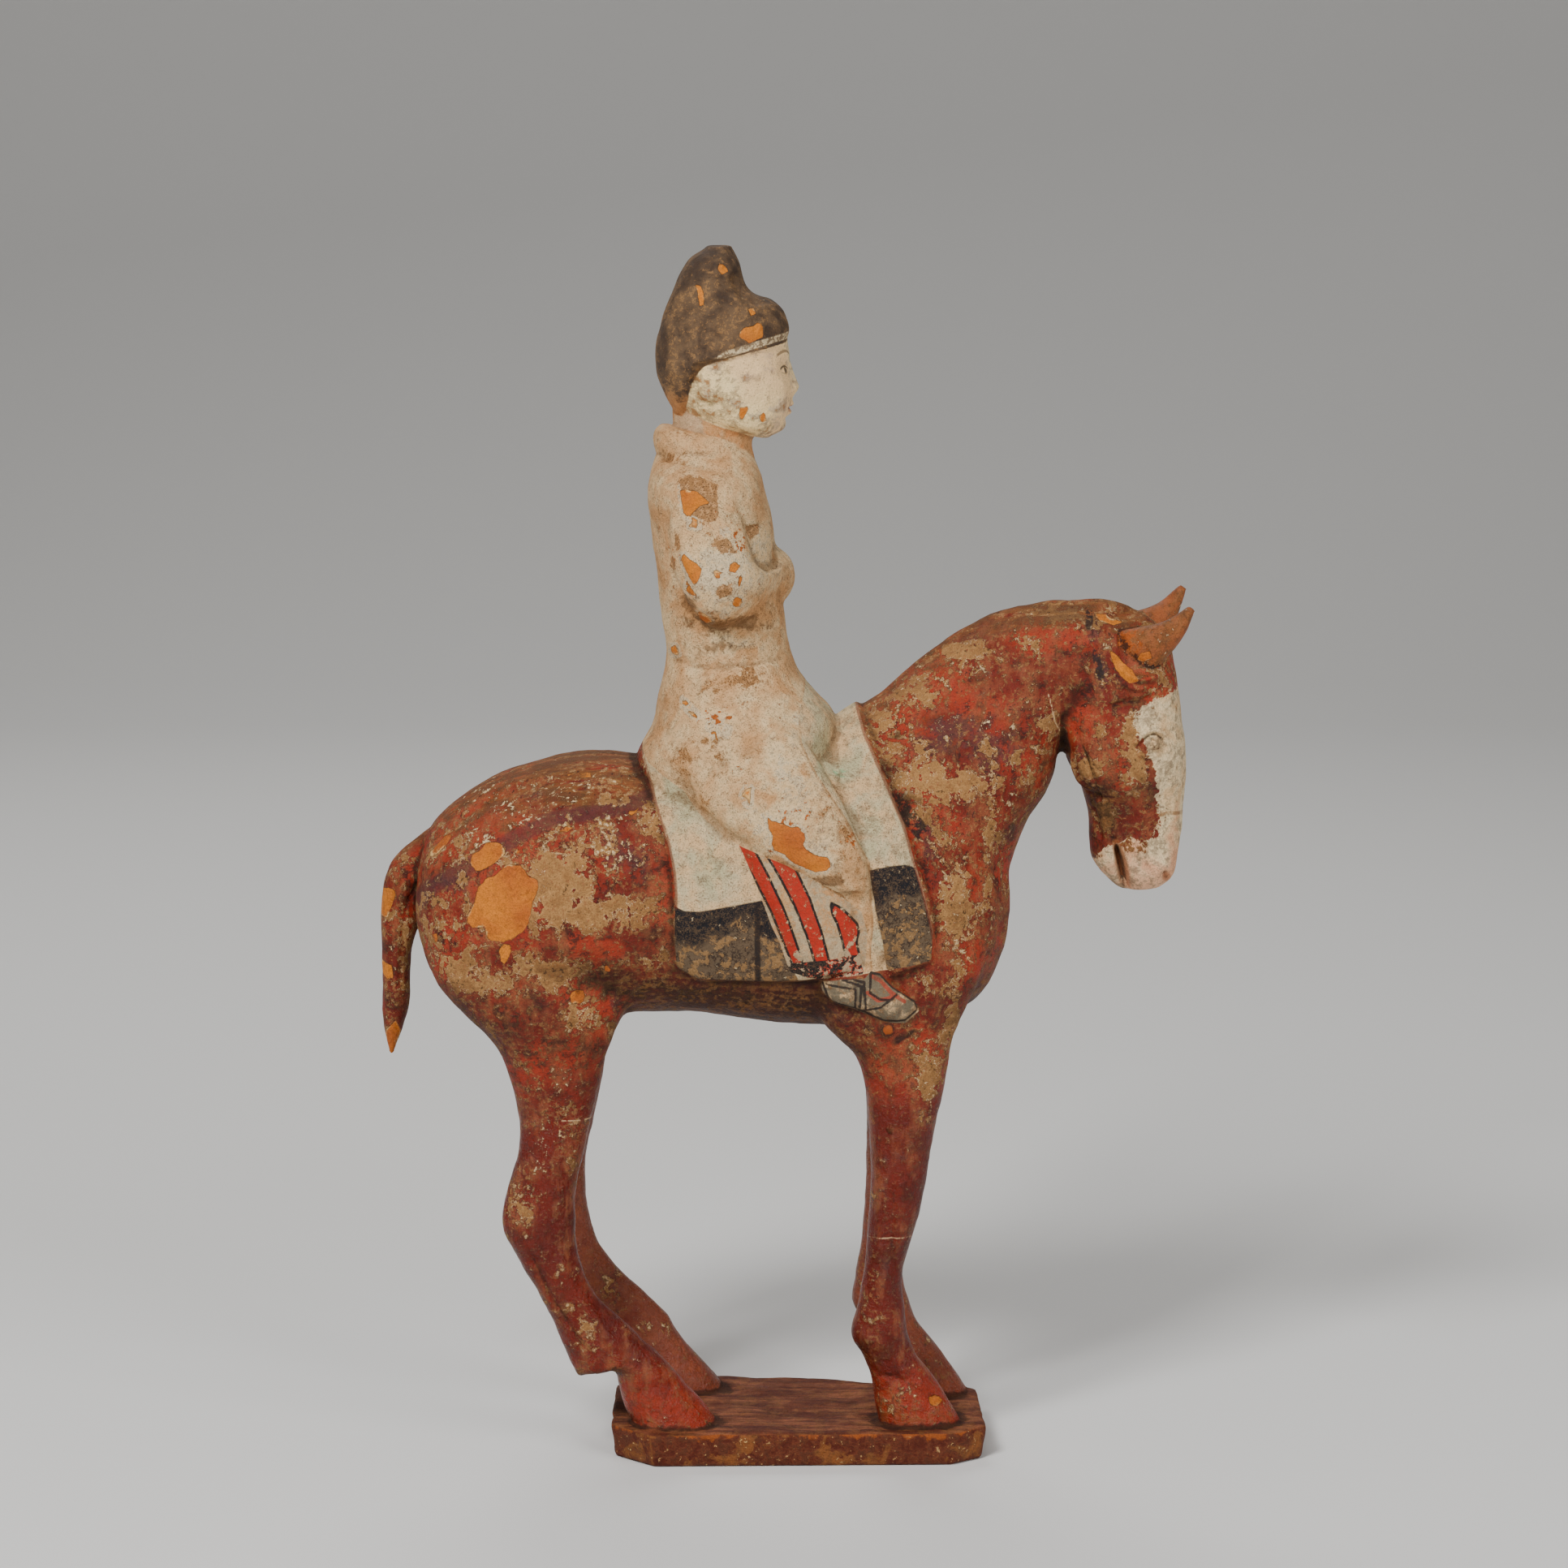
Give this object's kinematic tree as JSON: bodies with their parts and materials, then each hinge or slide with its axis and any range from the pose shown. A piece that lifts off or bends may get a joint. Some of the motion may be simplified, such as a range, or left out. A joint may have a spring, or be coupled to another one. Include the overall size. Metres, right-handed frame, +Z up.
{
  "type": "terracotta equestrian figure",
  "caption": "Painted terracotta tomb figure of a rider with joined sleeves on a standing horse, on a flat base slab.",
  "frame": {"origin": "in the middle plane of the horse, on the underside of the base slab, half way along it", "axes": "+X the way the horse faces, +Y to the horse's left, +Z up"},
  "size_m": [0.2541, 0.0872, 0.3798],
  "materials": {
    "painted_terracotta": "worn cold-painted earthenware: iron-red horse, cream robe, dark cap, pale green-grey saddle cloth, with bare clay, losses and dirt"
  },
  "bodies": {
    "root": {"equestrian_figure": "painted_terracotta"}
  },
  "joints": []
}
